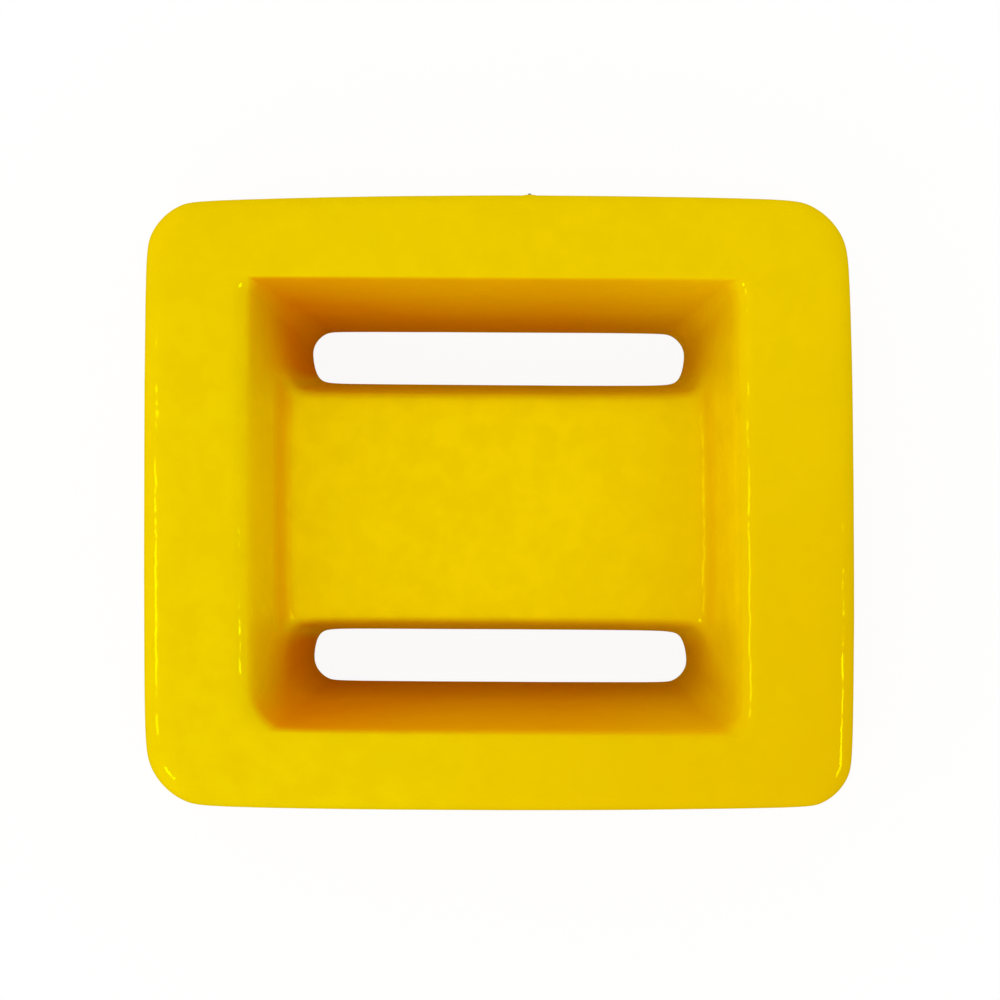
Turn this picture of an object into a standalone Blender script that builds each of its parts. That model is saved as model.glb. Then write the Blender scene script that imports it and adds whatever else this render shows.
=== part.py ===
"""A lead dive weight: a cast lead block with two belt slots, dipped in soft vinyl.

Lengths are in metres and +Z is up. The weight lies on its flat back with its hollowed front up. The
origin is the middle of the back, X runs along the slots and Y across the bar between them.

Every surface is one cage, softened by a Subdivision Surface. The finished vinyl surface is the cage
at inset 0; the inside of the vinyl and the lead are the same cage set further in.
"""

import math

import bmesh
import bpy
from mathutils import Vector

MM = 0.001

# The belt's way through the weight. Sizes at the back are to the unrounded edges.
SLOT_LENGTH = 51.6 * MM  # along the webbing's width, at the back
SLOT_WIDTH = 6.6 * MM  # between the bar and the frame, at the back
BAR_WIDTH = 35.6 * MM  # the bar that the webbing goes over, at the back
BAR_THICKNESS = 15.0 * MM  # from the back to the face that carries the webbing

# The frame round the slots
THICKNESS = 27.0 * MM  # from the back to the front face
END_WALL = 14.7 * MM  # frame width past the slots' ends, on the front face
SIDE_WALL = 12.0 * MM  # frame width beside the slots, on the front face
END_BOW = 0.5 * MM  # how far the ends stand back at the corners
SIDE_BOW = 0.95 * MM  # how far the sides stand back at the corners

# Draft, which let the casting out of its mould
END_DRAFT = math.radians(16.1)
SIDE_DRAFT = math.radians(11.9)
BAR_DRAFT = math.radians(9.0)
OUTER_DRAFT = math.radians(2.0)

# Roundings of the finished surface
CORNER_RADIUS = 8.4 * MM  # the frame's four corners, seen from the front
HOLLOW_CORNER_RADIUS = 3.2 * MM  # the hollow's four corners, at the front face
SLOT_END_RADIUS = 3.3 * MM
FRONT_RADIUS = 3.6 * MM
RIM_RADIUS = 2.4 * MM
BAR_RADIUS = 2.4 * MM
BACK_RADIUS = 2.0 * MM
FOOT_RADIUS = 3.4 * MM  # where the bar's face meets the ends of the hollow

# The vinyl and what the dip leaves
COATING = 1.2 * MM
LEAD_GAP = 0.3 * MM  # between the vinyl and the lead
HANGER_HOLE = 1.6 * MM  # diameter of the bare spot left by the dipping hook
HANGER_OFFSET = 4.2 * MM  # along X from the middle of the side
HANGER_DROP = 4.8 * MM  # from the front face down to the middle of the hole
HANGER_SIDES = 16  # flats round the hole
HANGER_CUT = 4 * COATING  # how long the cut is, which goes right through the vinyl

# How the cage is rounded
HELD_SHARE = 0.57  # an edge held by loops at distance d on both sides softens to a fillet of 0.57 d
DRAWN_IN = 0.2  # a slot's corner on the bar is drawn in by this share of its radius, to end round
LEAST_RADIUS = 0.3 * MM
MOST_OF_A_WALL = 0.95  # the share of a wall that its roundings may take
CORNER_STEPS = 3  # cage faces round a quarter turn, seen from the front
SMOOTHING = 1

# Finishes: colours are linear RGB
VINYL_YELLOW = (0.82, 0.57, 0.005)
VINYL_ROUGHNESS = 0.14
LEAD_GREY = (0.20, 0.205, 0.22)
LEAD_ROUGHNESS = 0.55

STATIONS = 4 * (CORNER_STEPS + 4)  # points of one loop, the first at +X
BAR_ENDS = ((0, 1), (STATIONS // 2, -1))  # the bar's two ends: middle station, side of the origin
BAR_EDGE = 2  # stations from the bar's middle to its edge


def remove_all_objects():
    for obj in list(bpy.data.objects):
        bpy.data.objects.remove(obj)


def collection(name):
    made = bpy.data.collections.new(name)
    bpy.context.scene.collection.children.link(made)
    return made


def material(name, colour, roughness, metallic):
    made = bpy.data.materials.new(name)
    made.use_nodes = True
    shader = made.node_tree.nodes["Principled BSDF"]
    shader.inputs["Base Color"].default_value = (*colour, 1.0)
    shader.inputs["Roughness"].default_value = roughness
    shader.inputs["Metallic"].default_value = metallic
    return made


def fitted(room, *lengths):
    """The lengths, made smaller together where the wall between them has too little room."""
    share = min(1.0, MOST_OF_A_WALL * room / sum(lengths))
    return [length * share for length in lengths]


def held(room, *radii):
    """How far from its edge each holding loop lies, for these radii at the two ends of a wall."""
    return fitted(room, *[max(radius, LEAST_RADIUS) / HELD_SHARE for radius in radii])


def corner_arc(centre, radius):
    """Points round a quarter turn, from +X to +Y, that soften to an arc of this radius."""
    turn = math.radians(90) / CORNER_STEPS
    swell = 3 / (2 + math.cos(turn))
    reach = [radius] + [radius * swell] * (CORNER_STEPS - 1) + [radius]
    return [
        centre + Vector((length * math.cos(step * turn), length * math.sin(step * turn)))
        for step, length in enumerate(reach)
    ]


def end_of_hollow(z, inset):
    """Half the hollow's length at height z."""
    return SLOT_LENGTH / 2 + z * math.tan(END_DRAFT) + inset / math.cos(END_DRAFT)


def side_of_hollow(z, inset):
    """Half the hollow's width at height z."""
    at_back = BAR_WIDTH / 2 + SLOT_WIDTH
    return at_back + z * math.tan(SIDE_DRAFT) + inset / math.cos(SIDE_DRAFT)


def side_of_bar(z, inset):
    """Half the bar's width at height z."""
    return BAR_WIDTH / 2 - z * math.tan(BAR_DRAFT) - inset / math.cos(BAR_DRAFT)


def end_of_frame(z, inset):
    """Half the whole length at height z."""
    spread = (THICKNESS - z) * math.tan(OUTER_DRAFT) - inset / math.cos(OUTER_DRAFT)
    return end_of_hollow(THICKNESS, 0) + END_WALL + spread


def side_of_frame(z, inset):
    """Half the whole width at height z."""
    spread = (THICKNESS - z) * math.tan(OUTER_DRAFT) - inset / math.cos(OUTER_DRAFT)
    return side_of_hollow(THICKNESS, 0) + SIDE_WALL + spread


class Cage:
    """The points of the weight's cage, with every surface set in by the same amount."""

    def __init__(self, inset):
        self.inset = inset
        self.back = inset
        self.front = THICKNESS - inset
        self.face = BAR_THICKNESS - inset
        wall = min(END_WALL, SIDE_WALL) - 2 * inset
        self.back_in, self.back_out = held(wall, BACK_RADIUS - inset, BACK_RADIUS - inset)
        self.front_out, self.front_in = held(wall, FRONT_RADIUS - inset, RIM_RADIUS - inset)
        rise = self.front - self.back
        self.back_up, self.front_down = held(rise, BACK_RADIUS - inset, FRONT_RADIUS - inset)
        depth = self.front - self.face
        self.rim_down, self.foot_up = held(depth, RIM_RADIUS - inset, FOOT_RADIUS + inset)
        height = self.face - self.back
        self.bar_down, self.slot_up = held(height, BAR_RADIUS - inset, BACK_RADIUS - inset)
        self.bar_in = held(side_of_bar(self.face, inset), BAR_RADIUS - inset)[0]
        self.foot_in = held(SLOT_LENGTH / 2, FOOT_RADIUS + inset)[0]
        beside_bar = side_of_frame(self.back, inset) - side_of_bar(self.back, inset)
        self.frame_corner = fitted(beside_bar, max(CORNER_RADIUS - inset, LEAST_RADIUS))[0]

    def hollow_corner(self, z):
        """The hollow's corner radius at height z: a slot's end at the back, wider up at the rim."""
        up = (z - self.back) / (self.front - self.back)
        radius = SLOT_END_RADIUS + up * (HOLLOW_CORNER_RADIUS - SLOT_END_RADIUS) + self.inset
        slot = side_of_hollow(z, self.inset) - side_of_bar(min(z, self.face), self.inset)
        return min(radius, slot / 2)

    def loop(self, half_x, half_y, corner, bar_y, z):
        """One closed loop, anticlockwise, with stations for its corners and for the bar's edges."""
        beside_bar = [Vector((half_x, y)) for y in (0.0, bar_y - self.bar_in, bar_y)]
        quarter = beside_bar + corner_arc(Vector((half_x - corner, half_y - corner)), corner)
        upper = quarter + [Vector((0.0, half_y))] + [Vector((-x, y)) for x, y in reversed(quarter)]
        lower = [Vector((x, -y)) for x, y in reversed(upper[1:-1])]
        return [Vector((x, y, z)) for x, y in upper + lower]

    def inner(self, z, out=0.0):
        """A loop on the hollow's wall, or set out from it on the front face or the back."""
        half_x = end_of_hollow(z, self.inset) + out
        half_y = side_of_hollow(z, self.inset) + out
        bar_y = side_of_bar(min(z, self.face), self.inset)
        return self.loop(half_x, half_y, self.hollow_corner(z) + out, bar_y, z)

    def outer(self, z, within=0.0):
        """A loop on the frame's outer wall, or set in from it, with its four sides bowed."""
        half_x = end_of_frame(z, self.inset) - within
        half_y = side_of_frame(z, self.inset) - within
        corner = max(self.frame_corner - within, LEAST_RADIUS)
        points = self.loop(half_x, half_y, corner, side_of_bar(self.back, self.inset), z)
        for point in points:
            across, along = point.y / half_y, point.x / half_x
            point.x -= along * END_BOW * across**2
            point.y -= across * SIDE_BOW * along**2
        return points

    def bar_outline(self):
        """The bar's outline near its +X end: from the middle of its face down the +Y side, and on."""

        def point(from_wall, y, z):
            return Vector((end_of_hollow(z, self.inset) - from_wall, y, z))

        def side(z):
            return side_of_bar(z, self.inset)

        upper, lower = self.face - self.bar_down, self.back + self.slot_up
        corner = self.hollow_corner(self.back)
        half = [
            point(self.foot_in, 0.0, self.face),
            point(self.foot_in, side(self.face) - self.bar_in, self.face),
            point(self.foot_in, side(self.face), self.face),
            point(corner, side(upper), upper),
            point(corner, side(lower), lower),
            point(corner, side(self.back), self.back),
            point(corner, side(self.back) - self.bar_in, self.back),
            point(corner, 0.0, self.back),
        ]
        return half + [Vector((x, -y, z)) for x, y, z in reversed(half[1:-1])]

    def frame_rows(self):
        """The frame's loops, from its back edge up, in over the front, and down the hollow."""
        back, front, face = self.back, self.front, self.face
        rows = [
            self.outer(back, self.back_out),
            self.outer(back),
            self.outer(back + self.back_up),
            self.outer(front - self.front_down),
            self.outer(front),
            self.outer(front, self.front_out),
            self.inner(front, self.front_in),
            self.inner(front),
            self.inner(front - self.rim_down),
            self.inner(face + self.foot_up),
            self.inner(face),
            self.inner(face - self.bar_down),
            self.inner(back + self.slot_up),
            self.inner(back),
            self.inner(back, self.back_in),
        ]
        for row in rows[-5:-1]:
            self.round_slot_ends(row)
        return rows

    def round_slot_ends(self, row):
        """Draws in a loop's four points at the bar's edges, so that the slots end round there."""
        for middle, _ in BAR_ENDS:
            for offset in (-BAR_EDGE, BAR_EDGE):
                point = row[(middle + offset) % STATIONS]
                corner = DRAWN_IN * self.hollow_corner(point.z)
                point.x -= math.copysign(corner, point.x)
                point.y += math.copysign(corner, point.y)


def skin_between(bm, first, second):
    """A strip of four-sided faces between two closed loops of as many points."""
    for here in range(len(first)):
        there = (here + 1) % len(first)
        bm.faces.new((first[here], first[there], second[there], second[here]))


def bar_mouth(rows, middle, side):
    """The closed loop of the hollow's points that one end of the bar is sewn to."""
    face, upper, lower, back = rows[-5:-1]
    edge = BAR_EDGE
    half = [(face, offset) for offset in range(edge + 1)]
    half += [(upper, edge), (lower, edge)]
    half += [(back, offset) for offset in range(edge, -1, -1)]
    whole = half + [(row, -offset) for row, offset in reversed(half[1:-1])]
    return [row[(middle + side * offset) % STATIONS] for row, offset in whole]


def add_bar(bm, rows, outline):
    """The bar, sewn between the hollow's two end walls, in place of what it covers of them."""
    right, left = [bar_mouth(rows, middle, side) for middle, side in BAR_ENDS]
    sections = [right]
    for side in (1, 0, -1):
        sections.append([bm.verts.new((side * x, y, z)) for x, y, z in outline])
    sections.append(left)
    covered = [
        row[(middle + offset) % STATIONS]
        for row in rows[-4:-2]
        for middle, _ in BAR_ENDS
        for offset in range(1 - BAR_EDGE, BAR_EDGE)
    ]
    bmesh.ops.delete(bm, geom=covered, context="VERTS")
    for here, there in zip(sections, sections[1:]):
        skin_between(bm, here, there)


def weight_body(name, inset, home):
    """The whole weight as one closed body."""
    cage = Cage(inset)
    bm = bmesh.new()
    rows = [[bm.verts.new(point) for point in row] for row in cage.frame_rows()]
    for here, there in zip(rows, rows[1:] + rows[:1]):
        skin_between(bm, here, there)
    add_bar(bm, rows, cage.bar_outline())
    bmesh.ops.recalc_face_normals(bm, faces=bm.faces)
    mesh = bpy.data.meshes.new(name)
    bm.to_mesh(mesh)
    bm.free()
    mesh.shade_smooth()
    body = bpy.data.objects.new(name, mesh)
    home.objects.link(body)
    soften = body.modifiers.new("Soften", "SUBSURF")
    soften.levels = soften.render_levels = SMOOTHING
    return body


def helper(obj):
    obj.hide_render = True
    obj.display_type = "WIRE"
    return obj


def hanger_cutter(home):
    """A round bar through the vinyl of the upper side, where the hook held the casting."""
    height = THICKNESS - HANGER_DROP
    bpy.ops.mesh.primitive_cylinder_add(
        vertices=HANGER_SIDES,
        radius=HANGER_HOLE / 2,
        depth=HANGER_CUT,
        location=(HANGER_OFFSET, side_of_frame(height, 0), height),
        rotation=(math.radians(90), 0, 0),
    )
    cutter = bpy.context.object
    cutter.name = "hanger_cutter"
    for current in list(cutter.users_collection):
        current.objects.unlink(cutter)
    home.objects.link(cutter)
    return helper(cutter)


def cut(body, cutter):
    modifier = body.modifiers.new(cutter.name, "BOOLEAN")
    modifier.operation = "DIFFERENCE"
    modifier.solver = "EXACT"
    modifier.object = cutter


def main():
    remove_all_objects()
    parts = collection("lead dive weight")
    cutters = collection("cutters")

    lead = weight_body("lead_core", COATING + LEAD_GAP, parts)
    lead.data.materials.append(material("cast lead", LEAD_GREY, LEAD_ROUGHNESS, metallic=1.0))

    coating = weight_body("vinyl_coating", 0.0, parts)
    coating.data.materials.append(material("yellow vinyl", VINYL_YELLOW, VINYL_ROUGHNESS, metallic=0.0))
    cut(coating, helper(weight_body("casting_space", COATING, cutters)))
    cut(coating, hanger_cutter(cutters))


main()
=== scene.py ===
# %% [markdown]
# # A dive weight: cast lead in a yellow vinyl skin
#
# A diver threads the belt up through one slot, over the bar and down through the other slot. The
# weight is one lead casting, dipped hot in liquid vinyl, which sets to a thick, glossy, seamless skin.
#
# The weight's solids are already built at their real size. They come in as a fixed frame, so every
# piece made here takes its size and its place from them, and nothing has to be fitted afterwards.

# %% Load the solids
import math

import bmesh
import bpy
from mathutils import Matrix, Vector


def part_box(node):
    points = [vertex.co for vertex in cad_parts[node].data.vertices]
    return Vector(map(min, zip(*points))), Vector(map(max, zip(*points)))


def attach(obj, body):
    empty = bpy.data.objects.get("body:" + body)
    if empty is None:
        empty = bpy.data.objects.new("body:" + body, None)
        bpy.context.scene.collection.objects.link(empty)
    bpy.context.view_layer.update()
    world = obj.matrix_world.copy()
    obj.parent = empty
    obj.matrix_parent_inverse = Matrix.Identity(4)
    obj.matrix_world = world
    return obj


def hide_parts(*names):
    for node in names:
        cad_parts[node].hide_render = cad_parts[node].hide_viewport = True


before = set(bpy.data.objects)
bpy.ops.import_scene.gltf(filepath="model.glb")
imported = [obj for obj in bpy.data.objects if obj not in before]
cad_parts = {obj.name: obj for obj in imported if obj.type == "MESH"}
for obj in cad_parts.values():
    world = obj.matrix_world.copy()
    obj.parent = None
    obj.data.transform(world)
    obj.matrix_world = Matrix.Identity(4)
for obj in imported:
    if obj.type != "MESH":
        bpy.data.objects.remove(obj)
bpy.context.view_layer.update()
_, coating_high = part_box("vinyl_coating")
print("solids:", sorted(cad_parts))
print("the weight's far corner, in mm:", [round(1000 * side, 2) for side in coating_high])

# %% [markdown]
# ## Sizes
#
# The outside comes from the frame. The hollow, the bar and the roundings are written as real sizes.
# A real dipped casting is never quite even, so the four corners and the four sides have sizes of
# their own, in the order that a walk round the weight meets them, from +X towards +Y. The hollow is
# uneven too: a little off square, with one end more upright, and its mouth and bar lie off the
# middle. The mouth's edge is a narrow facet, which is widest at the hollow's ends. It catches the
# light there in the photograph.

# %% The weight's sizes
MM = 0.001

THICKNESS = coating_high.z
COATING = 1.2 * MM
LEAD_GAP = 0.3 * MM

SLOT_LENGTH = 51.9 * MM
SLOT_WIDTH = 6.53 * MM
BAR_WIDTH = 35.6 * MM
BAR_THICKNESS = 15.0 * MM
WIDEST_AT = 4.75 * MM  # height at which the outer wall comes out of the back edge's rounding

END_DRAFT = math.radians(16.1)
SIDE_DRAFT = math.radians(12.15)
BAR_DRAFT = math.radians(7.0)
OUTER_END_DRAFT = math.radians(2.6)
OUTER_SIDE_DRAFT = math.radians(2.0)

FRAME_CORNERS = [9.1 * MM, 8.0 * MM, 9.2 * MM, 7.2 * MM]
HOLLOW_CORNERS = [1.6 * MM, 1.6 * MM, 5.0 * MM, 2.8 * MM]
BOWS = [0.60 * MM, 1.10 * MM, 0.26 * MM, 0.70 * MM]  # how far a side stands back at its ends
LEANS = [0.14 * MM, -0.06 * MM, -0.12 * MM, -0.10 * MM]  # how far it turns, in at its +X or +Y end
SKEW = 0.006  # how far the hollow is off square, as a slope
UPRIGHT = 0.054  # how much steeper its +X end stands than its -X end, as a slope
MOUTH_SHIFT = 0.4 * MM  # how far its mouth lies off the middle of its floor, towards -Y
BAR_SHIFT = 0.38 * MM  # how far the bar's face does so besides
BAR_SOFTER = 3.2 * MM  # how much further in the rounding of its upper edge starts
SLOT_END_RADIUS = 3.3 * MM
FRONT_RADIUS = 3.4 * MM
RIM_RADIUS = 0.7 * MM
RIM_FACET_DEPTH = 1.4 * MM  # the mouth's edge is a narrow facet, wide at the ends of the hollow
RIM_FACET_AT_ENDS = 1.55 * MM
RIM_FACET_AT_SIDES = 0.15 * MM
RIM_FACET_LOWER = 0.45 * MM  # how much wider it is on the side towards -Y
LOWER_LEAN = 0.35 * MM  # how much further out the wall on that side stands at the mouth
BAR_RADIUS = 1.5 * MM
BACK_RADIUS = 2.0 * MM
FOOT_RADIUS = 3.4 * MM

print("the belt's bar is", round(1000 * BAR_WIDTH, 1), "mm wide and",
      round(1000 * BAR_THICKNESS, 1), "mm thick")

# %% [markdown]
# ## A shorthand for node trees
#
# Both the shapes and the finishes below are node trees. Written out node by node, even a short sum
# takes a dozen lines. The class here wraps a node's output and gives it the signs of arithmetic, so
# that `1 - depth / front` adds its own Math nodes. Every other node comes from one method, which
# takes the node's type, its settings and what goes into its sockets.

# %% Node trees from expressions
class Wire:
    """A node's output. Arithmetic on wires and numbers adds Math nodes to their tree."""

    def __init__(self, graph, socket):
        self.graph = graph
        self.socket = socket

    def math(self, operation, *others):
        return self.graph.math(operation, self, *others)

    def __add__(self, other):
        return self.math("ADD", other)

    def __sub__(self, other):
        return self.math("SUBTRACT", other)

    def __mul__(self, other):
        return self.math("MULTIPLY", other)

    def __truediv__(self, other):
        return self.math("DIVIDE", other)

    def __rsub__(self, other):
        return self.graph.math("SUBTRACT", other, self)

    def __rtruediv__(self, other):
        return self.graph.math("DIVIDE", other, self)

    __radd__ = __add__
    __rmul__ = __mul__

    def output(self, name):
        """Another output of the same node."""
        return Wire(self.graph, self.socket.node.outputs[name])


class Graph:
    """A node tree that is filled by calls."""

    def __init__(self, tree):
        self.tree = tree

    def node(self, kind, settings=None, inputs=None, output=0):
        made = self.tree.nodes.new(kind)
        for name, value in (settings or {}).items():
            setattr(made, name, value)
        for name, value in (inputs or {}).items():
            self.feed(made.inputs[name], value)
        return Wire(self, made.outputs[output]) if made.outputs else made

    def feed(self, socket, value):
        if isinstance(value, Wire):
            self.tree.links.new(value.socket, socket)
        else:
            socket.default_value = value

    def math(self, operation, *values):
        return self.node("ShaderNodeMath", {"operation": operation}, dict(enumerate(values)))

    def between(self, value, low, high):
        """0 at low, 1 at high, and an even, eased rise between them. High may be the smaller."""
        settings = {"interpolation_type": "SMOOTHSTEP"}
        return self.node("ShaderNodeMapRange", settings, {"Value": value, 1: low, 2: high})

    def scaled(self, vector, factor):
        settings = {"operation": "SCALE"}
        return self.node("ShaderNodeVectorMath", settings, {0: vector, "Scale": factor})

    def noise(self, place, size, detail=2.0, seed=0.0):
        """Noise from 0 to 1, whose blotches are about this size."""
        inputs = {"Vector": place, "W": seed, "Scale": 1.0 / size, "Detail": detail}
        return self.node("ShaderNodeTexNoise", {"noise_dimensions": "4D"}, inputs)

    def split(self, vector):
        x = self.node("ShaderNodeSeparateXYZ", inputs={0: vector}, output="X")
        return x, x.output("Y"), x.output("Z")


print("an expression such as 1 - depth / front becomes two Math nodes")

# %% [markdown]
# ## The weight's form: a cage of points
#
# Every edge of a dipped casting is soft. The form could be carved from a block and its edges
# bevelled, but the roundings here run into each other, which bevels do badly. So the form is a
# coarse cage, and a Subdivision Surface softens it. Where the cage has two lines close together, the
# surface turns sharply, and where they lie far apart it turns gently.
#
# The same cage, set in by the skin's thickness, gives the skin's inside, and set in a little further
# it gives the lead. This cell has the rule for the roundings.

# %% Roundings
HELD_SHARE = 0.57  # an edge held by lines at distance d on both sides softens to a radius of 0.57 d
LEAST_RADIUS = 0.3 * MM
MOST_OF_A_WALL = 0.95
CORNER_STEPS = 4
STATIONS = 4 * (CORNER_STEPS + 4)


def fitted(room, *lengths):
    """The lengths, made smaller together where the wall between them has too little room."""
    share = min(1.0, MOST_OF_A_WALL * room / sum(lengths))
    return [length * share for length in lengths]


def held(room, *radii):
    """How far from its edge each holding line lies, for these radii at the two ends of a wall."""
    return fitted(room, *[max(radius, LEAST_RADIUS) / HELD_SHARE for radius in radii])


def corner_arc(quarter, centre, radius):
    """Points round one quarter turn, anticlockwise, that soften to an arc of this radius."""
    turn = math.radians(90) / CORNER_STEPS
    swell = 3 / (2 + math.cos(turn))
    points = []
    for step in range(CORNER_STEPS + 1):
        reach = radius if step in (0, CORNER_STEPS) else radius * swell
        angle = quarter * math.radians(90) + step * turn
        points.append(centre + Vector((reach * math.cos(angle), reach * math.sin(angle))))
    return points


print("one line round the weight has", STATIONS, "points")

# %% [markdown]
# ## Where the walls stand
#
# The mould's walls lean, so that the casting comes out of it. Each wall's place is therefore a
# function of height. The inset moves a wall into the material, square to its own face.

# %% Walls at a height
def end_of_hollow(z, inset):
    return SLOT_LENGTH / 2 + z * math.tan(END_DRAFT) + inset / math.cos(END_DRAFT)


def side_of_hollow(z, inset):
    at_back = BAR_WIDTH / 2 + SLOT_WIDTH
    return at_back + z * math.tan(SIDE_DRAFT) + inset / math.cos(SIDE_DRAFT)


def side_of_bar(z, inset):
    return BAR_WIDTH / 2 - z * math.tan(BAR_DRAFT) - inset / math.cos(BAR_DRAFT)


def outer_wall(widest, draft, z, inset):
    return widest + (WIDEST_AT - z) * math.tan(draft) - inset / math.cos(draft)


def outer_end(z, inset):
    return outer_wall(coating_high.x, OUTER_END_DRAFT, z, inset)


def outer_side(z, inset):
    return outer_wall(coating_high.y, OUTER_SIDE_DRAFT, z, inset)


RIM_X, RIM_Y = end_of_hollow(THICKNESS, 0), side_of_hollow(THICKNESS, 0)
print("the hollow's mouth is", round(2000 * RIM_X, 1), "by", round(2000 * RIM_Y, 1), "mm")

# %% [markdown]
# ## An uneven hollow
#
# A mould that has been used for years is worn, and its halves don't meet quite square. The hollow is
# first laid out square and even. Then these rules move its points a little: the bar goes to the
# lower side, one of its edges gets a softer start, and all lines lean. A slot's end is round, so its
# two corners on the bar are drawn in.

# %% Move points of the hollow
BAR_EDGE = 2  # points from the middle of the bar's end to its edge
BAR_ENDS = ((0, 1), (STATIONS // 2, -1))  # the middle point of each end, and its side of the origin
BELOW_FACE = 2 * (COATING + LEAD_GAP)  # the lead's bar has its face within this of the skin's
EDGE_LINES = 2 * BAR_RADIUS  # within this of the bar's side lies the line that its corner is on
CLEAR_OF_BAR = 0.1 * MM  # a point further out than the bar's side by this is no point of the bar
DRAWN_IN = 0.2  # the share of a slot's end radius by which its corner on the bar is drawn in
DRAWN_OUT = 0.06  # and the share by which it is drawn out, into the slot


def shift_bar(point):
    """Moves a point of the bar to the lower side, all the way at the height of the bar's face. The
    line where the face starts to round off to the upper side moves further, for a softer edge."""
    on_face = point.z > BAR_THICKNESS - BELOW_FACE
    if on_face and 0 < point.y < BAR_WIDTH / 2 - EDGE_LINES:
        point.y -= BAR_SOFTER
    point.y -= BAR_SHIFT * min(point.z, BAR_THICKNESS) / BAR_THICKNESS


def skewed(point):
    """The hollow isn't quite square: its lines lean together, as they do in a worn mould."""
    x = point.x - SKEW * point.y - (UPRIGHT * point.z if point.x > 0 else 0.0)
    y = point.y - SKEW * point.x - MOUTH_SHIFT * point.z / THICKNESS
    return Vector((x, y, point.z))


def round_slot_ends(line, radius):
    """Draws in a line's four points at the bar's edges, so that the slots end round there."""
    for middle, _ in BAR_ENDS:
        for offset in (-BAR_EDGE, BAR_EDGE):
            point = line[(middle + offset) % STATIONS]
            point.x -= math.copysign(DRAWN_IN * radius, point.x)
            point.y += math.copysign(DRAWN_OUT * radius, point.y)


print("a slot's corner on the bar is drawn in", round(1000 * DRAWN_IN * SLOT_END_RADIUS, 2), "mm")

# %% [markdown]
# ## The cage
#
# The frame is a stack of closed lines: round the back edge, up the outer wall, in over the front
# face and down the hollow's wall to the back again. Each line has the same number of points, so
# neighbouring lines are joined by four-sided faces, which subdivide cleanly.

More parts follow.
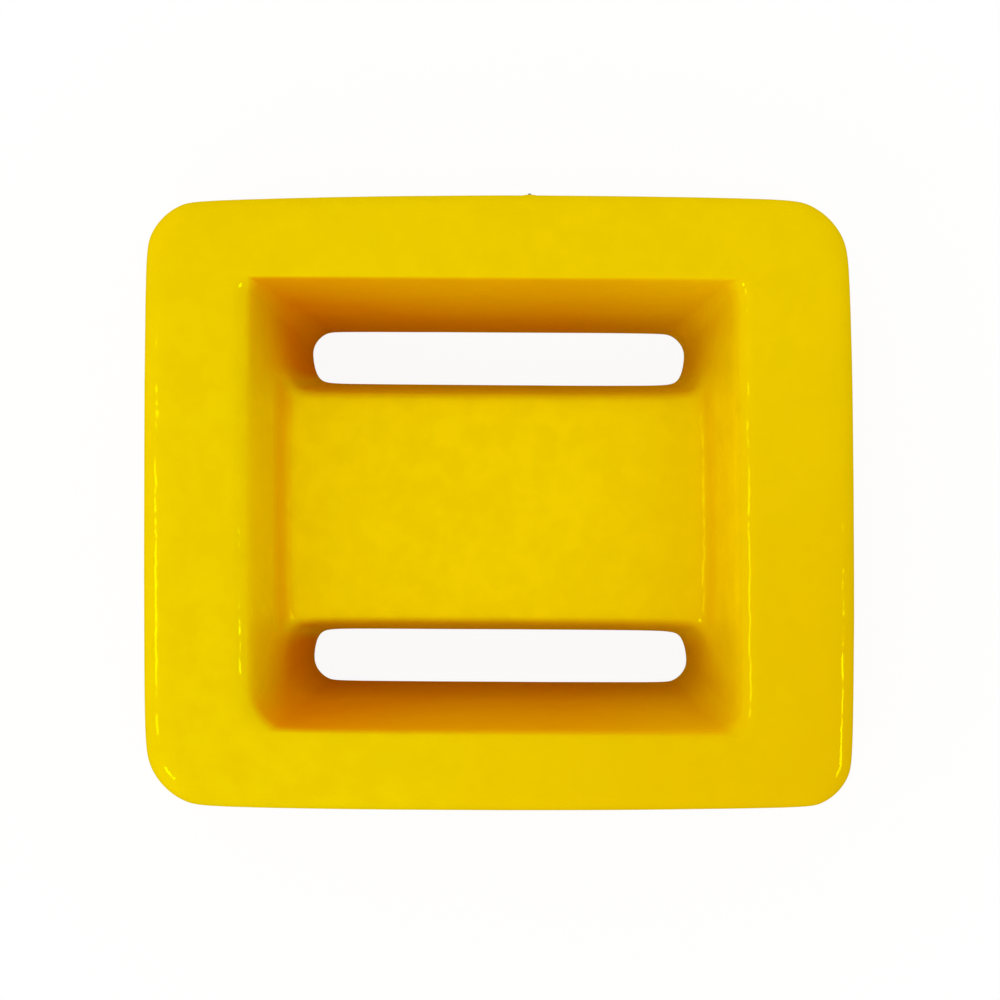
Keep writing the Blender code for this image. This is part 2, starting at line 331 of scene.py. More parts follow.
# %% Lines round the frame
class Cage:
    """The weight's cage, with every surface set in by the same amount."""

    def __init__(self, inset):
        self.inset = inset
        self.back = inset
        self.front = THICKNESS - inset
        self.face = BAR_THICKNESS - inset
        wall = outer_side(self.front, inset) - side_of_hollow(self.front, inset)
        self.back_in, self.back_out = held(wall, BACK_RADIUS - inset, BACK_RADIUS - inset)
        self.front_out, self.rim_in = held(wall, FRONT_RADIUS - inset, RIM_RADIUS)
        rise = self.front - self.back
        self.back_up, self.front_down = held(rise, BACK_RADIUS - inset, FRONT_RADIUS - inset)
        depth = self.front - RIM_FACET_DEPTH - self.face
        self.rim_down, self.foot_up = held(depth, 2 * RIM_RADIUS, FOOT_RADIUS + inset)
        height = self.face - self.back
        self.bar_down, self.slot_up = held(height, BAR_RADIUS - inset, BACK_RADIUS - inset)
        self.bar_in = held(side_of_bar(self.face, inset), BAR_RADIUS - inset)[0]
        self.foot_in = held(SLOT_LENGTH / 2, FOOT_RADIUS + inset)[0]

    def line(self, half_x, half_y, corners, bar_y, z):
        """One closed line, anticlockwise from +X, with points for the bar's edges on both ends."""
        points = [Vector((half_x, y)) for y in (0.0, bar_y - self.bar_in, bar_y)]
        for quarter, radius in enumerate(corners):
            side_x, side_y = ((1, 1), (-1, 1), (-1, -1), (1, -1))[quarter]
            centre = Vector((side_x * (half_x - radius), side_y * (half_y - radius)))
            points += corner_arc(quarter, centre, radius)
            if quarter in (0, 2):
                points.append(Vector((0.0, side_y * half_y)))
            elif quarter == 1:
                ends = (bar_y, bar_y - self.bar_in, 0.0, self.bar_in - bar_y, -bar_y)
                points += [Vector((-half_x, y)) for y in ends]
        points += [Vector((half_x, y)) for y in (-bar_y, self.bar_in - bar_y)]
        return [Vector((x, y, z)) for x, y in points]

    def hollow_corners(self, z):
        """The hollow's four corner radii: a slot's end at the back, each its own at the rim."""
        up = (z - self.back) / (self.front - self.back)
        slot = side_of_hollow(z, self.inset) - side_of_bar(min(z, self.face), self.inset)
        at_rim = [rim + self.inset for rim in HOLLOW_CORNERS]
        at_slot = SLOT_END_RADIUS + self.inset
        return [min(at_slot + up * (rim - at_slot), slot / 2) for rim in at_rim]

    def inner(self, z, end_out=0.0, side_out=0.0, lower_out=0.0):
        """A line on the hollow's wall, or set out from it on the front face or the back. The side
        towards -Y is set out by lower_out besides."""
        half_x = end_of_hollow(z, self.inset) + end_out
        half_y = side_of_hollow(z, self.inset) + side_out
        corners = [corner + min(end_out, side_out) for corner in self.hollow_corners(z)]
        bar_y = side_of_bar(min(z, self.face), self.inset)
        line = self.line(half_x, half_y, corners, bar_y, z)
        for point in line:
            if point.y < -bar_y - CLEAR_OF_BAR:
                point.y -= lower_out + LOWER_LEAN * z / THICKNESS
        for offset in range(-BAR_EDGE, BAR_EDGE + 1):
            for middle, _ in BAR_ENDS:
                shift_bar(line[(middle + offset) % STATIONS])
        return [skewed(point) for point in line]

    def outer(self, z, within=0.0):
        """A line on the outer wall, or set in from it, with each side bowed by its own amount."""
        half_x = outer_end(z, self.inset) - within
        half_y = outer_side(z, self.inset) - within
        corners = [max(corner - self.inset - within, LEAST_RADIUS) for corner in FRAME_CORNERS]
        points = self.line(half_x, half_y, corners, side_of_bar(self.back, self.inset), z)
        for point in points:
            along, across = point.x / half_x, point.y / half_y
            end, side = (0 if along > 0 else 2), (1 if across > 0 else 3)
            point.x -= along * (BOWS[end] * across**2 + LEANS[end] * across)
            point.y -= across * (BOWS[side] * along**2 + LEANS[side] * along)
        return points

    def frame_lines(self):
        back, front, face = self.back, self.front, self.face
        lines = [
            self.outer(back, self.back_out),
            self.outer(back),
            self.outer(back + self.back_up),
            self.outer(front - self.front_down),
            self.outer(front),
            self.outer(front, self.front_out),
            self.inner(front, RIM_FACET_AT_ENDS + self.rim_in, RIM_FACET_AT_SIDES + self.rim_in,
                       RIM_FACET_LOWER),
            self.inner(front, RIM_FACET_AT_ENDS, RIM_FACET_AT_SIDES, RIM_FACET_LOWER),
            self.inner(front - RIM_FACET_DEPTH),
            self.inner(front - RIM_FACET_DEPTH - self.rim_down),
            self.inner(face + self.foot_up),
            self.inner(face),
            self.inner(face - self.bar_down),
            self.inner(back + self.slot_up),
            self.inner(back),
            self.inner(back, self.back_in, self.back_in),
        ]
        for line in lines[-5:-1]:
            round_slot_ends(line, max(self.hollow_corners(line[0].z)))
        return lines


print("the frame is", len(Cage(0.0).frame_lines()), "lines")

# %% [markdown]
# ## The bar
#
# The bar joins the hollow's two end walls. Its outline is swept from one wall to the other, and at
# both ends it is sewn to the frame's own points, so that the foot of the bar is one skin with the
# frame, as on the casting.

# %% Sew the bar in
def bar_outline(cage):
    """The bar's outline near its +X end: from the middle of its face down one side, and on."""
    corner = SLOT_END_RADIUS + cage.inset
    upper, lower = cage.face - cage.bar_down, cage.back + cage.slot_up
    places = [
        (cage.foot_in, 0.0, cage.face),
        (cage.foot_in, -cage.bar_in, cage.face),
        (cage.foot_in, 0.0, cage.face),
        (corner, 0.0, upper),
        (corner, 0.0, lower),
        (corner, 0.0, cage.back),
        (corner, -cage.bar_in, cage.back),
        (corner, 0.0, cage.back),
    ]
    half = []
    for number, (from_wall, within, z) in enumerate(places):
        y = 0.0 if number in (0, len(places) - 1) else side_of_bar(z, cage.inset) + within
        half.append(Vector((end_of_hollow(z, cage.inset) - from_wall, y, z)))
    return half + [Vector((x, -y, z)) for x, y, z in reversed(half[1:-1])]


def bar_mouth(rows, middle, side):
    """The closed line of the hollow's points that one end of the bar is sewn to."""
    face, upper, lower, back = rows[-5:-1]
    half = [(face, offset) for offset in range(BAR_EDGE + 1)]
    half += [(upper, BAR_EDGE), (lower, BAR_EDGE)]
    half += [(back, offset) for offset in range(BAR_EDGE, -1, -1)]
    whole = half + [(row, -offset) for row, offset in reversed(half[1:-1])]
    return [row[(middle + side * offset) % STATIONS] for row, offset in whole]


def skin_between(bm, first, second):
    """Four-sided faces between two closed lines of as many points."""
    for here in range(len(first)):
        there = (here + 1) % len(first)
        bm.faces.new((first[here], first[there], second[there], second[here]))


def weight_cage(inset):
    """The whole cage as a closed mesh that faces outwards."""
    cage = Cage(inset)
    bm = bmesh.new()
    rows = [[bm.verts.new(point) for point in line] for line in cage.frame_lines()]
    for here, there in zip(rows, rows[1:] + rows[:1]):
        skin_between(bm, here, there)
    right, left = [bar_mouth(rows, middle, side) for middle, side in BAR_ENDS]
    sections = [right]
    for side in (1, 0, -1):
        outline = [Vector((side * x, y, z)) for x, y, z in bar_outline(cage)]
        for point in outline:
            shift_bar(point)
        sections.append([bm.verts.new(skewed(point)) for point in outline])
    sections.append(left)
    covered = [row[(middle + offset) % STATIONS]
               for row in rows[-4:-2] for middle, _ in BAR_ENDS
               for offset in range(1 - BAR_EDGE, BAR_EDGE)]
    bmesh.ops.delete(bm, geom=covered, context="VERTS")
    for here, there in zip(sections, sections[1:]):
        skin_between(bm, here, there)
    bmesh.ops.recalc_face_normals(bm, faces=bm.faces)
    return bm


sample = weight_cage(0.0)
print("the cage has", len(sample.faces), "faces")
sample.free()

# %% [markdown]
# ## The skin's two sides in one mesh
#
# The vinyl is a shell round the lead, so its cage is two cages: the outside, and the inside turned
# inside out. A number on each point tells the node tree below which side it belongs to.

# %% Cages as objects
def cage_object(name, *sides):
    """An object of one or more cages, given as (inset, is the outside)."""
    mesh = bpy.data.meshes.new(name)
    whole = bmesh.new()
    outside = whole.verts.layers.float.new("outside")
    for inset, is_outside in sides:
        part = weight_cage(inset)
        if not is_outside:
            bmesh.ops.reverse_faces(part, faces=part.faces)
        copies = {vert: whole.verts.new(vert.co) for vert in part.verts}
        for vert in copies.values():
            vert[outside] = float(is_outside)
        for face in part.faces:
            whole.faces.new([copies[vert] for vert in face.verts])
        part.free()
    whole.to_mesh(mesh)
    whole.free()
    made = bpy.data.objects.new(name, mesh)
    bpy.context.scene.collection.objects.link(made)
    return made


skin_cage = cage_object("vinyl_skin", (0.0, True), (COATING, False))
lead_cage = cage_object("cast_lead_block", (COATING + LEAD_GAP, True))
print("skin cage:", len(skin_cage.data.polygons), "faces; lead cage:",
      len(lead_cage.data.polygons), "faces")

# %% [markdown]
# ## A tree for each shape
#
# A Geometry Nodes tree turns each cage into its finished form. It is built here by the same
# shorthand. Its named inputs are the sizes that a maker would change, and they are set on the
# modifier by each socket's identifier.

# %% Geometry trees and their inputs
SHARP_FROM = math.radians(50)  # an edge that turns by less than this is shaded smooth


class ShapeTree(Graph):
    """A Geometry Nodes tree with named inputs."""

    KINDS = {int: "NodeSocketInt", float: "NodeSocketFloat", Vector: "NodeSocketVector"}

    def __init__(self, name, inputs):
        super().__init__(bpy.data.node_groups.new(name, "GeometryNodeTree"))
        face = self.tree.interface
        face.new_socket("Geometry", in_out="INPUT", socket_type="NodeSocketGeometry")
        face.new_socket("Geometry", in_out="OUTPUT", socket_type="NodeSocketGeometry")
        self.values = {}
        for label, value in inputs.items():
            kind = self.KINDS.get(type(value), "NodeSocketMaterial")
            socket = face.new_socket(label, in_out="INPUT", socket_type=kind)
            self.values[socket.identifier] = value
        self.inputs = self.node("NodeGroupInput")

    def given(self, label):
        return self.inputs.output(label)

    def finish(self, geometry):
        """Ends the tree: real geometry only, in one finish."""
        real = self.node("GeometryNodeRealizeInstances", inputs={0: geometry})
        finish = {"Geometry": real, "Material": self.given("Finish")}
        done = self.node("GeometryNodeSetMaterial", inputs=finish)
        self.node("NodeGroupOutput", inputs={0: done})

    def apply_to(self, source, name):
        """Runs the tree on an object, and returns the result as a plain mesh object."""
        modifier = source.modifiers.new(self.tree.name, "NODES")
        modifier.node_group = self.tree
        for identifier, value in self.values.items():
            modifier[identifier] = value
        shown = source.evaluated_get(bpy.context.evaluated_depsgraph_get())
        mesh = bpy.data.meshes.new_from_object(shown)
        mesh.shade_smooth()
        mesh.set_sharp_from_angle(angle=SHARP_FROM)
        source.modifiers.remove(modifier)
        bpy.data.objects.remove(source)
        made = bpy.data.objects.new(name, mesh)
        bpy.context.scene.collection.objects.link(made)
        return made


def soften(tree, geometry, level):
    """The smooth surface of a cage."""
    return tree.node("GeometryNodeSubdivisionSurface", inputs={"Mesh": geometry, "Level": level})


def pushed_in(tree, geometry, depth):
    """The surface, moved into the material by a varying depth."""
    normal = tree.node("GeometryNodeInputNormal")
    inputs = {"Geometry": geometry, "Offset": tree.scaled(normal, 0 - depth)}
    return tree.node("GeometryNodeSetPosition", inputs=inputs)


print("an edge stays sharp from", round(math.degrees(SHARP_FROM)), "degrees")

# %% [markdown]
# ## Where the hook held the casting
#
# A casting is hung from a hook while it is dipped. The hook leaves one small bare spot, ringed by a
# bead of vinyl, on the edge that hung uppermost. A stub of lead stands in it. These values place the
# spot on the sloping outer wall; the hole, the bead and the stub all lie on one axis.

# %% The hanger spot
HANGER_HOLE = 1.6 * MM
HANGER_OFFSET = 4.2 * MM  # from the middle of the upper side, along it
HANGER_DROP = 4.8 * MM  # from the front face down to the middle of the hole
HANGER_SUNK = 0.50 * MM  # how far the side's bow and the skin's swell bring the surface in here
BEAD = 0.15 * MM  # thickness of the bead, from its middle to its skin
STUB_RADIUS = 0.22 * MM
STUB_PROUD = 0.4 * MM  # how far the stub stands out of the vinyl
STUB_ROOT = 2.2 * MM  # how far it reaches into the weight, past the skin

hanger_z = THICKNESS - HANGER_DROP
hanger = Vector((HANGER_OFFSET, outer_side(hanger_z, HANGER_SUNK), hanger_z))
ACROSS_Y = Vector((math.radians(90), 0.0, 0.0))


def rod(tree, radius, depth, place, sides=32):
    """A round bar along Y, centred on a place."""
    sizes = {"Vertices": sides, "Radius": radius, "Depth": depth}
    upright = tree.node("GeometryNodeMeshCylinder", {"fill_type": "NGON"}, sizes)
    turn = {"Geometry": upright, "Translation": place, "Rotation": ACROSS_Y}
    return tree.node("GeometryNodeTransform", inputs=turn)


def ring(tree, radius, thickness, place):
    """A round ring of round section, about an axis along Y."""
    path = tree.node("GeometryNodeCurvePrimitiveCircle", inputs={"Resolution": 48, "Radius": radius})
    section = tree.node("GeometryNodeCurvePrimitiveCircle", inputs={"Resolution": 16, "Radius": thickness})
    swept = tree.node("GeometryNodeCurveToMesh", inputs={"Curve": path, "Profile Curve": section})
    turn = {"Geometry": swept, "Translation": place, "Rotation": ACROSS_Y}
    return tree.node("GeometryNodeTransform", inputs=turn)


def boolean(tree, operation, mesh, tool):
    """The mesh with the tool added or cut away."""
    settings = {"operation": operation, "solver": "EXACT"}
    slots = {"Mesh 2": tool}
    if operation == "DIFFERENCE":
        slots["Mesh 1"] = mesh
        return tree.node("GeometryNodeMeshBoolean", settings, slots)
    both = tree.node("GeometryNodeMeshBoolean", settings, slots)
    tree.tree.links.new(mesh.socket, both.socket.node.inputs["Mesh 2"])
    return both


print("the hook held the weight", round(1000 * hanger.x, 1), "mm from the middle of its upper side")

# %% [markdown]
# ## Finishes from noise
#
# Every finish below is one Principled shader. What is the same all over is a number on its socket.
# What varies, such as colour, roughness and fine relief, comes from noise in the object's own
# coordinates or from values on the piece's points, so the pattern stays on the piece from wherever
# it is seen.

# %% A finish's tree
def seen(red, green, blue):
    """A colour as it is seen on a screen, 0 to 255, turned into the shader's linear numbers."""
    shares = [channel / 255 for channel in (red, green, blue)]
    linear = [s / 12.92 if s <= 0.04045 else ((s + 0.055) / 1.055) ** 2.4 for s in shares]
    return (*linear, 1.0)


class Finish(Graph):
    """A material with one Principled shader, whose even values are set on its sockets."""

    def __init__(self, name, even):
        self.material = bpy.data.materials.new(name)
        self.material.use_nodes = True
        self.material.node_tree.nodes.clear()
        super().__init__(self.material.node_tree)
        self.shader = self.node("ShaderNodeBsdfPrincipled", inputs=even)
        self.node("ShaderNodeOutputMaterial", inputs={"Surface": self.shader})
        self.place = self.node("ShaderNodeTexCoord", output="Object")

    def blend(self, share, first, second):
        """From the first colour to the second."""
        inputs = {0: share, 6: first, 7: second}
        return self.node("ShaderNodeMix", {"data_type": "RGBA"}, inputs, output=2)

    def attribute(self, name):
        return self.node("ShaderNodeAttribute", {"attribute_name": name}, output="Fac")

    def varies(self, **wires):
        for name, wire in wires.items():
            self.feed(self.shader.socket.node.inputs[name.replace("_", " ")], wire)

    def relief(self, height, depth):
        """A surface whose height runs from 0 to 1 over this depth."""
        inputs = {"Strength": 1.0, "Distance": depth, "Height": height}
        self.varies(Normal=self.node("ShaderNodeBump", inputs=inputs))


print("the photograph's yellow in linear numbers:", [round(c, 3) for c in seen(236, 203, 2)[:3]])

# %% [markdown]
# ## Yellow vinyl
#
# The skin is plastisol: PVC that goes on as a liquid and sets in an oven. It is a deep, clean yellow
# that drifts a little, thinner or duller in soft patches. Towards the lower right corner it is painted
# darker and more orange: painted shade, where less light falls.
#
# The hollow's walls are given a deep orange: painted shade, partly also vinyl that gathered thick. The
# bar between them and the open wall at +X are painted brighter: painted light. The light below doesn't
# make them so by itself, and noise can't know where they are. So the shape's tree keeps both as values
# on the skin's points, and the finish reads them as attributes.
#
# Light goes a little way into the skin before it comes back, so even its gloss is yellow. A plain
# plastic's gloss would be white. Here it comes from a small metallic share, whose gloss takes the
# skin's own colour, and the plastic's own is switched off.

# %% Yellow vinyl
VINYL = seen(240, 208, 0)
# Painted shade: darker and more orange towards the lower right corner.
CORNER_SHADE_VINYL = seen(233, 189, 0)  # towards the lower right corner
THIN_VINYL = seen(234, 212, 0)
DULL_VINYL = seen(226, 192, 0)
# Painted light: the bar's face and the open wall at +X, brighter than the vinyl.
PAINTED_LIGHT_VINYL = seen(247, 213, 0)
# Painted shade in the hollow, partly thicker vinyl: a deep orange.
SHADE_AND_THICK_VINYL = seen(228, 144, 0)
THIN_SHARE = 0.20
DULL_SHARE = 0.30
# Where that painted shade lies: deepest far to +X of the first line and far to -Y of the second.
CORNER_SHADE_BESIDE = -13 * MM  # the vinyl is warmest far to +X of this line
CORNER_SHADE_BELOW = 40 * MM  # and far to -Y of this one
CORNER_SHADE_RANGE = (-2200 * MM**2, 5300 * MM**2)  # the product of both distances, from none to most
GLOSS_SHARE = 0.09
GLOSS_TINT = (0.9, 1.0, 0.02, 1.0)
ROUGHNESS = 0.07
ROUGHER_IN_CLOUDS = 0.05
ROUGHER_IN_PAINTED_SHADE = 0.5
RELIEF = 0.30 * MM
PEEL_SHARE = 0.03  # share of the relief that is as fine as an orange's peel


def vinyl_colour(finish, clouds):
    """Thin and dull patches, painted shade towards one corner, painted light on the bar, and in the
    hollow a deep orange that is painted shade and partly thicker vinyl.
    """
    place = finish.place
    drift = finish.noise(place, 34 * MM, 1.0, seed=2.0)
    mottle = finish.noise(place, 3.2 * MM, 2.0, seed=9.0)
    x, y, _ = finish.split(place)
    # Painted shade: darker and more orange towards the lower right corner.
    corner_shade = finish.between((x - CORNER_SHADE_BESIDE) * (CORNER_SHADE_BELOW - y), *CORNER_SHADE_RANGE)
    thin = finish.between(drift * 0.7 + clouds * 0.3, 0.42, 0.70)
    dull = finish.between(mottle, 0.30, 0.70)
    colour = finish.blend(corner_shade, VINYL, CORNER_SHADE_VINYL)
    colour = finish.blend(thin * THIN_SHARE, colour, THIN_VINYL)
    # Painted light on the bar and the open wall.
    colour = finish.blend(finish.attribute("painted_light"), colour, PAINTED_LIGHT_VINYL)
    colour = finish.blend(dull * DULL_SHARE, colour, DULL_VINYL)
    # Painted shade in the hollow, partly thicker vinyl.
    return finish.blend(finish.attribute("painted_shade"), colour, SHADE_AND_THICK_VINYL)


def yellow_vinyl():
    even = {"Metallic": GLOSS_SHARE, "Specular IOR Level": 0.0, "Specular Tint": GLOSS_TINT}
    finish = Finish("yellow vinyl", even)
    clouds = finish.noise(finish.place, 9 * MM, 3.0, seed=5.0)
    rougher = clouds * ROUGHER_IN_CLOUDS + finish.attribute("painted_shade") * ROUGHER_IN_PAINTED_SHADE
    finish.varies(Base_Color=vinyl_colour(finish, clouds), Roughness=ROUGHNESS + rougher)
    waves = finish.noise(finish.place, 5 * MM, 2.0, seed=7.0)
    peel = finish.noise(finish.place, 0.9 * MM, 1.0, seed=8.0)
    finish.relief(waves * (1 - PEEL_SHARE) + peel * PEEL_SHARE, RELIEF)
    return finish.material


vinyl_finish = yellow_vinyl()
print("finish:", vinyl_finish.name)

# %% [markdown]
# ## Cast lead
#
# Lead leaves its mould bright and turns dull blue-grey within days, in clouds. It shows only in the
# bare spot, but the block is a real piece, so it has its casting's grain and a soft metal's sheen.

# %% Cast lead
LEAD = seen(132, 136, 143)
OXIDE = seen(92, 96, 102)
LEAD_GLOSS = 0.9  # how far it is a bare metal
LEAD_RELIEF = 0.12 * MM


def cast_lead():
    finish = Finish("cast lead", {"Metallic": LEAD_GLOSS})
    clouds = finish.noise(finish.place, 7 * MM, 4.0, seed=11.0)
    grain = finish.noise(finish.place, 0.7 * MM, 3.0, seed=12.0)
    dulled = finish.between(clouds, 0.38, 0.66)
    finish.varies(Base_Color=finish.blend(dulled, LEAD, OXIDE), Roughness=0.42 + dulled * 0.25)
    finish.relief(clouds * 0.4 + grain * 0.6, LEAD_RELIEF)
    return finish.material


lead_finish = cast_lead()
print("finish:", lead_finish.name)

# %% [markdown]
# ## The dipped skin
#
# The liquid runs while it sets, so the skin is never quite even: it sags in broad swells and
# ripples finely. The tree softens both sides of the cage, then pushes the outside in by two sizes of
# noise, which keeps it within the solid's own box.
#
# It also works out two shares for the finish, from each point's place and the way it faces. One is
# painted shade, partly also thicker vinyl, on the hollow's steep walls: most of all deep down, beside
# the slots and towards -X, and at the foot of the end walls. The other is painted light on the level
# face of the bar and on the open wall at its +X end. Painting them by hand would take longer and
# wouldn't follow a change of size. Last the tree adds the hanger's bead and cuts the hole.

# %% Shape the skin
# The shares below set the painted shade, partly thicker vinyl, on the hollow's walls and their feet, and
# the painted light on the bar and the open wall at +X. In their notes, shelter means that painted shade
# and the pool means that painted light.
AT_MOUTH = 0.15  # shelter of an end wall at the hollow's mouth, where 1 is the most sheltered wall
MORE_AT_SIDES = 0.40  # and how much more a side wall has there
MORE_LOW_DOWN = 0.18  # and how much more still the lower one of the two
OFF_THE_SLOTS = 0.20  # share of its shelter that a wall has away from the slots
AT_FOOT = 0.40  # shelter of the rounding where an end wall meets the bar
MORE_TO_LEFT = 0.40  # how the shelter grows towards -X
LESS_TO_RIGHT = 0.50  # and shrinks towards +X
# Painted light on the open wall at +X and on the bar:
LIT_WALL = 0.85  # how bright the open wall at +X is, where 1 is the pool on the bar
LIT_LESS_BY_SLOT = 0.45
PAINTED_LIGHT_LESS_TO_RIGHT = 0.85


def in_the_hollow(tree):
    """Two shares: the painted shade on a point of the hollow's walls, partly thicker vinyl, and the
    painted light on the bar's face or on the open wall. Both are 0 outside the hollow."""
    x, y, z = tree.split(tree.node("GeometryNodeInputPosition"))
    _, normal_y, normal_z = tree.split(tree.node("GeometryNodeInputNormal"))
    faces_slot = normal_y.math("ABSOLUTE")
    within = tree.math("LESS_THAN", x.math("ABSOLUTE"), RIM_X)
    within = within * tree.math("LESS_THAN", y.math("ABSOLUTE"), RIM_Y + 2 * MM)
    within = within * tree.between(z, 0.0, 3 * MM)
    to_left = tree.between(x, 0.0, -34 * MM)
    to_right = tree.between(x, 6 * MM, 34 * MM)
    near_floor = tree.between(z, BAR_THICKNESS + 5 * MM, BAR_THICKNESS + 1 * MM)

    # The painted shade is deepest on the walls deep down and beside the slots.
    faces_up = normal_y.math("MAXIMUM", 0.0)
    at_mouth = faces_slot * MORE_AT_SIDES + faces_up * MORE_LOW_DOWN + AT_MOUTH
    deep = tree.between(z, THICKNESS - 2 * MM, THICKNESS - 25 * MM)
    from_middle = y.math("ABSOLUTE") - faces_slot * (4 * MM)
    by_slot = tree.between(from_middle, BAR_WIDTH / 2 - 4 * MM, BAR_WIDTH / 2 + 2 * MM)
    steep = tree.between(normal_z, 0.80, 0.35)
    near_slot = by_slot * (1 - OFF_THE_SLOTS) + OFF_THE_SLOTS
    wall = steep * (at_mouth + deep * (1 - at_mouth)) * near_slot

    # Painted shade darkens the rounding at the foot of an end wall too, though not the bar's own
    # long edges. It grows towards -X and shrinks towards +X.
    at_end = tree.between(faces_slot, 0.35, 0.05)
    rounding = tree.between(normal_z, 0.995, 0.84) * tree.between(normal_z, 0.28, 0.55)
    foot = near_floor * rounding * at_end * AT_FOOT
    across = (to_left * MORE_TO_LEFT + 1.0) * (1 - to_right * LESS_TO_RIGHT)
    shade_share = wall.math("MAXIMUM", foot) * across

    # Painted light brightens the level face of the bar. The open wall at +X is painted about as bright.
    level = near_floor * tree.between(normal_z, 0.85, 0.99)
    open_wall = steep * to_right * (LIT_WALL - by_slot * LIT_LESS_BY_SLOT)
    lit = (level * (1 - to_right * PAINTED_LIGHT_LESS_TO_RIGHT)).math("MAXIMUM", open_wall)
    return within * shade_share, within * lit


def dipped_skin():
    tree = ShapeTree("Dipped skin", {
        "Outside Smoothing": 3, "Inside Smoothing": 2,
        "Swell": 0.16 * MM, "Swell Size": 32 * MM,
        "Ripple": 0.035 * MM, "Ripple Size": 7 * MM, "Seed": 3.0,
        "Hanger": hanger, "Hole": HANGER_HOLE / 2, "Bead": BEAD, "Finish": vinyl_finish,
    })
    is_outside = tree.node("GeometryNodeInputNamedAttribute", {"data_type": "FLOAT"},
                           {"Name": "outside"})
    sides = tree.node("GeometryNodeSeparateGeometry", {"domain": "FACE"},
                      {"Geometry": tree.given("Geometry"), "Selection": is_outside})
    outside = soften(tree, sides, tree.given("Outside Smoothing"))
    inside = soften(tree, sides.output("Inverted"), tree.given("Inside Smoothing"))

    place = tree.node("GeometryNodeInputPosition")
    swell = tree.noise(place, tree.given("Swell Size"), 1.0, tree.given("Seed"))
    ripple = tree.noise(place, tree.given("Ripple Size"), 1.0, tree.given("Seed") + 1.0)
    depth = swell * tree.given("Swell") + ripple * tree.given("Ripple")
    uneven = pushed_in(tree, outside, depth)
    marked = uneven
    # Stored for the finish: the painted shade, partly thicker vinyl, and the painted light.
    for name, share in zip(("painted_shade", "painted_light"), in_the_hollow(tree)):
        marked = tree.node("GeometryNodeStoreNamedAttribute", {"data_type": "FLOAT"},
                           {"Geometry": marked, "Name": name, "Value": share})

    both = tree.node("GeometryNodeJoinGeometry", inputs={0: marked})
    tree.tree.links.new(inside.socket, both.socket.node.inputs[0])
    hole, spot = tree.given("Hole"), tree.given("Hanger")
    bead = ring(tree, hole + tree.given("Bead") * 0.6, tree.given("Bead"), spot)
    beaded = boolean(tree, "UNION", both, bead)
    bare = boolean(tree, "DIFFERENCE", beaded, rod(tree, hole, 4 * COATING, spot))
    tree.finish(bare)
    return tree


skin = dipped_skin().apply_to(skin_cage, "vinyl_skin")
print("the skin has", len(skin.data.polygons), "faces")

# %% [markdown]
# ## The lead block
#
# The casting lies 0.3 mm inside the skin. It is the same form, with the uneven face that lead takes
# as it chills against the mould, and with the stub where the hook was.

# %% Shape the lead
def cast_block():
    tree = ShapeTree("Cast block", {
        "Smoothing": 3, "Chill": 0.10 * MM, "Chill Size": 4 * MM, "Seed": 21.0,
        "Stub Place": hanger - Vector((0.0, (STUB_ROOT - STUB_PROUD) / 2, 0.0)),
        "Stub Radius": STUB_RADIUS, "Stub Length": STUB_ROOT + STUB_PROUD,
        "Finish": lead_finish,
    })
    smooth = soften(tree, tree.given("Geometry"), tree.given("Smoothing"))
    place = tree.node("GeometryNodeInputPosition")
    chill = tree.noise(place, tree.given("Chill Size"), 3.0, tree.given("Seed"))
    uneven = pushed_in(tree, smooth, chill * tree.given("Chill"))
    stub = rod(tree, tree.given("Stub Radius"), tree.given("Stub Length"), tree.given("Stub Place"), 12)
    tree.finish(boolean(tree, "UNION", uneven, stub))
    return tree


block = cast_block().apply_to(lead_cage, "cast_lead_block")
print("the lead has", len(block.data.polygons), "faces")

# %% [markdown]
# ## Are the pieces whole?
#
# A solid piece is closed: every edge has exactly two faces. Its volume then has a meaning, and is
# above zero when the faces point outwards.

# %% Check both pieces
def whole(piece):
    """Open edges and volume in cubic centimetres."""
    bm = bmesh.new()
    bm.from_mesh(piece.data)
    open_edges = sum(not edge.is_manifold for edge in bm.edges)
    triangles = sum(len(face.verts) - 2 for face in bm.faces)
    volume = bm.calc_volume(signed=True) * 1e6
    bm.free()
    return open_edges, triangles, round(volume, 2)


for piece in (skin, block):
    print(piece.name, "open edges, triangles, volume in cm3:", whole(piece))

# %% [markdown]
# ## The pieces stand for the solids
#
# Each fine piece rides on the body of its solid and takes that solid's place.

# %% Ride and replace
for piece, node, finish_name in ((skin, "vinyl_coating", "yellow_vinyl"),
                                 (block, "lead_core", "cast_lead")):
    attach(piece, "root")
    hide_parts(node)
    print(piece.name, "stands for", node)

# %% [markdown]
# ## White ground
#
# The weight lies on its back on a white table. To the camera, and in the vinyl's gloss, the ground
# is simply white. To all other light it is a pale matt surface, which throws light back up. A small
# share of that matt surface stays in what the camera sees, so that the weight keeps its shadow.
#
# Close to the weight, and under it, a real white table is lit by the weight and shows its yellow. A
# gloss would find plain white there instead and draw a pale rim round the weight, so it is given
# that yellow near the weight.

# %% The ground
GROUND_SIZE = 3.0
GROUND_GAP = 0.02 * MM  # keeps the ground clear of the weight's flat back
WHITE_SHARE = 0.92  # the part of what the camera sees that is plain white
MATT_SHARE = 0.085  # and the part that the light makes, where the weight's shadow shows
CAST_YELLOW = (0.45, 0.33, 0.01, 1.0)  # the weight's own yellow, thrown on the ground beside it
MATT_WHITE = (0.66, 0.66, 0.66, 1.0)
SHADE = 26 * MM  # how far round the weight its own shade shows in its gloss


def seen_directly(graph):
    """1 for the rays that show a thing to the camera, in a gloss or through glass."""
    camera = graph.node("ShaderNodeLightPath", output="Is Camera Ray")
    glossy, through = camera.output("Is Glossy Ray"), camera.output("Is Transmission Ray")
    return camera.math("MAXIMUM", glossy).math("MAXIMUM", through)


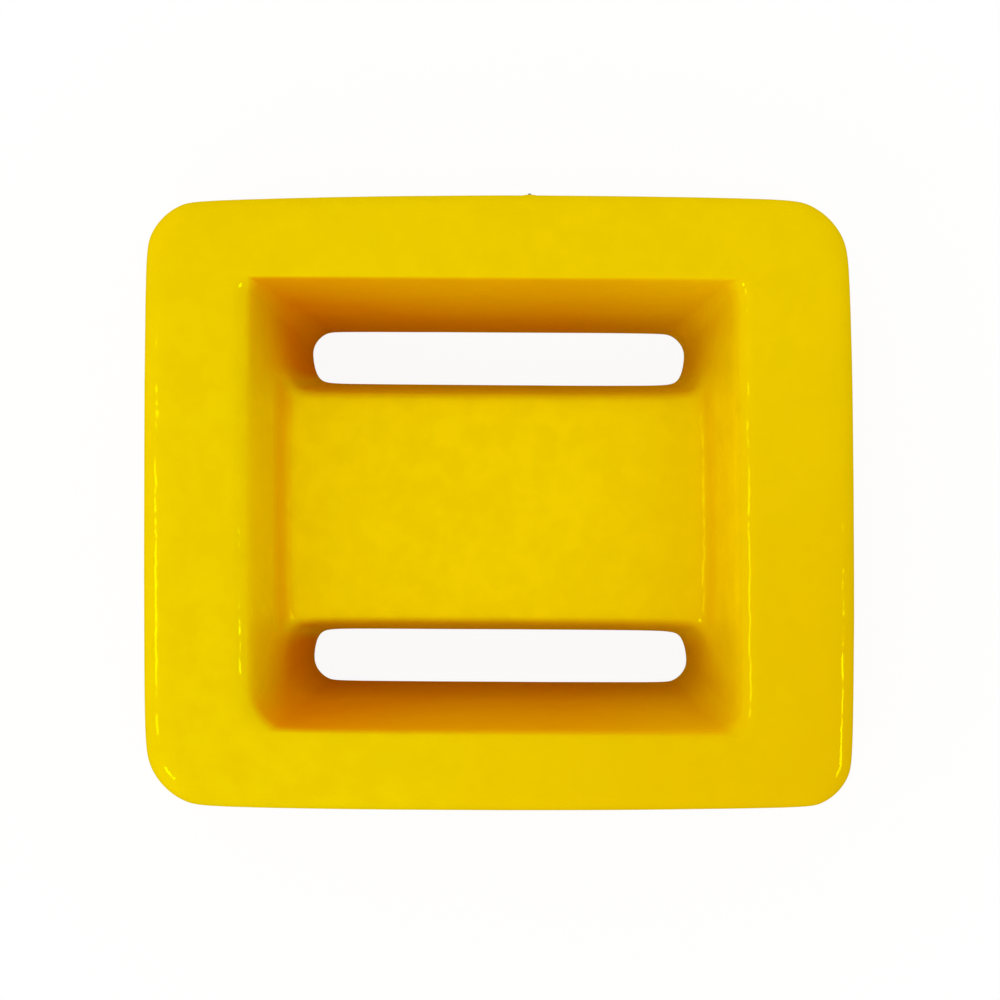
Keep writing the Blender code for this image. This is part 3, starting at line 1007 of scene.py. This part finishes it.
def white_ground():
    material = bpy.data.materials.new("white ground")
    material.use_nodes = True
    material.node_tree.nodes.clear()
    graph = Graph(material.node_tree)
    x, y, _ = graph.split(graph.node("ShaderNodeTexCoord", output="Object"))
    beside = graph.between(x.math("ABSOLUTE"), coating_high.x, coating_high.x + SHADE)
    beyond = graph.between(y.math("ABSOLUTE"), coating_high.y, coating_high.y + SHADE)
    in_gloss = graph.node("ShaderNodeLightPath", output="Is Glossy Ray")
    shaded = in_gloss * (1 - beside.math("MAXIMUM", beyond))
    direct = seen_directly(graph)
    matt = graph.node("ShaderNodeBsdfDiffuse", inputs={"Color": MATT_WHITE})
    glow = graph.node("ShaderNodeEmission", inputs={"Color": (1, 1, 1, 1), "Strength": WHITE_SHARE})
    dim = graph.node("ShaderNodeBsdfDiffuse", inputs={"Color": (MATT_SHARE,) * 3 + (1.0,)})
    white = graph.node("ShaderNodeAddShader", inputs={0: glow, 1: dim})
    yellow = graph.node("ShaderNodeEmission", inputs={"Color": CAST_YELLOW, "Strength": 1.0})
    shown = graph.node("ShaderNodeMixShader", inputs={0: shaded, 1: white, 2: yellow})
    ground = graph.node("ShaderNodeMixShader", inputs={0: direct, 1: matt, 2: shown})
    graph.node("ShaderNodeOutputMaterial", inputs={"Surface": ground})
    return material


bpy.ops.mesh.primitive_plane_add(size=GROUND_SIZE, location=(0, 0, -GROUND_GAP))
ground = bpy.context.object
ground.name = "ground"
ground.data.materials.append(white_ground())
print("the ground is", GROUND_SIZE, "m wide")

# %% [markdown]
# ## Soft light
#
# The weight is lit as small goods are: soft light from all round and above, a little more of it from
# the left, and a narrow strip at each side. The soft box lights only the matt colour and the strips
# show only in the gloss, where they draw the thin bright lines along the rounded edges. So the two
# can be set apart, and the front face shows about the colour that its finish was given. The strips
# are greenish, because a highlight on yellow vinyl looks greener than the vinyl does.

# %% World and lamps
SKY_ABOVE = 0.68
SKY_LOW = 0.66
SKY_LEFT = 0.34
WHITE = (1.0, 1.0, 1.0, 1.0)
STRIP_COLOUR = (0.45, 1.0, 0.2)


def white_world():
    world = bpy.data.worlds.new("white room")
    bpy.context.scene.world = world
    world.use_nodes = True
    world.node_tree.nodes.clear()
    graph = Graph(world.node_tree)
    direct = seen_directly(graph)
    x, _, z = graph.split(graph.node("ShaderNodeTexCoord", output="Generated"))
    level = SKY_ABOVE + (1 - z) * (1 - x * SKY_LEFT) * SKY_LOW
    soft = graph.node("ShaderNodeBackground", inputs={"Color": WHITE, "Strength": level})
    white = graph.node("ShaderNodeBackground", inputs={"Color": WHITE, "Strength": 1.0})
    room = graph.node("ShaderNodeMixShader", inputs={0: direct, 1: soft, 2: white})
    graph.node("ShaderNodeOutputWorld", inputs={"Surface": room})


def lamp(name, azimuth, elevation, distance, width, height, brightness, in_gloss=True):
    """A flat rectangular light that faces the weight. Azimuth 0 is +X and 90 is +Y."""
    made = bpy.data.lights.new(name, "AREA")
    made.shape = "RECTANGLE"
    made.size, made.size_y = width, height
    made.color = STRIP_COLOUR if in_gloss else WHITE[:3]
    made.energy = brightness * width * height * math.pi
    turn, rise = math.radians(azimuth), math.radians(elevation)
    towards = Vector((math.cos(rise) * math.cos(turn), math.cos(rise) * math.sin(turn), math.sin(rise)))
    placed = bpy.data.objects.new(name, made)
    placed.location = towards * distance + Vector((0.0, 0.0, THICKNESS))
    placed.rotation_euler = towards.to_track_quat("Z", "Y").to_euler()
    placed.visible_glossy, placed.visible_diffuse = in_gloss, not in_gloss
    bpy.context.scene.collection.objects.link(placed)
    return placed


white_world()
# The numbers are azimuth and elevation in degrees, then distance, width and height in metres, and
# the brightness of the lit face.
lamp("soft_box", 225, 60, 1.2, 0.90, 0.90, 0.7, in_gloss=False)
lamp("left_strip", 181.5, 40, 1.0, 0.14, 0.12, 7.0)
lamp("right_strip", -17.5, 36, 1.0, 0.42, 0.14, 10.0)
lamp("low_left", 214, 40, 1.0, 0.10, 0.12, 30.0)

# %% [markdown]
# ## Camera
#
# The photograph looks straight down on the front face, from a little towards the lower side. The
# lens is a long one, so the walls of the hollow show only by their lean.

# %% The camera
CAMERA_PLACE = Vector((2.6 * MM, -13.8 * MM, THICKNESS + 400 * MM))
AIM = Vector((0.2 * MM, 0.05 * MM, THICKNESS))
FRAME_WIDTH = 134.1 * MM  # how much of the front face's plane the picture is wide
SENSOR_WIDTH = 36.0

camera_data = bpy.data.cameras.new("camera")
camera_data.sensor_width = SENSOR_WIDTH
camera_data.lens = SENSOR_WIDTH * (CAMERA_PLACE - AIM).length / FRAME_WIDTH
camera = bpy.data.objects.new("camera", camera_data)
camera.location = CAMERA_PLACE
look = (AIM - CAMERA_PLACE).normalized()
right = look.cross(Vector((0.0, 1.0, 0.0))).normalized()
camera.rotation_euler = Matrix((right, right.cross(look), -look)).transposed().to_euler()
bpy.context.scene.collection.objects.link(camera)
bpy.context.scene.camera = camera
bpy.context.scene.view_settings.view_transform = "Standard"
print("lens:", round(camera_data.lens, 1), "mm")
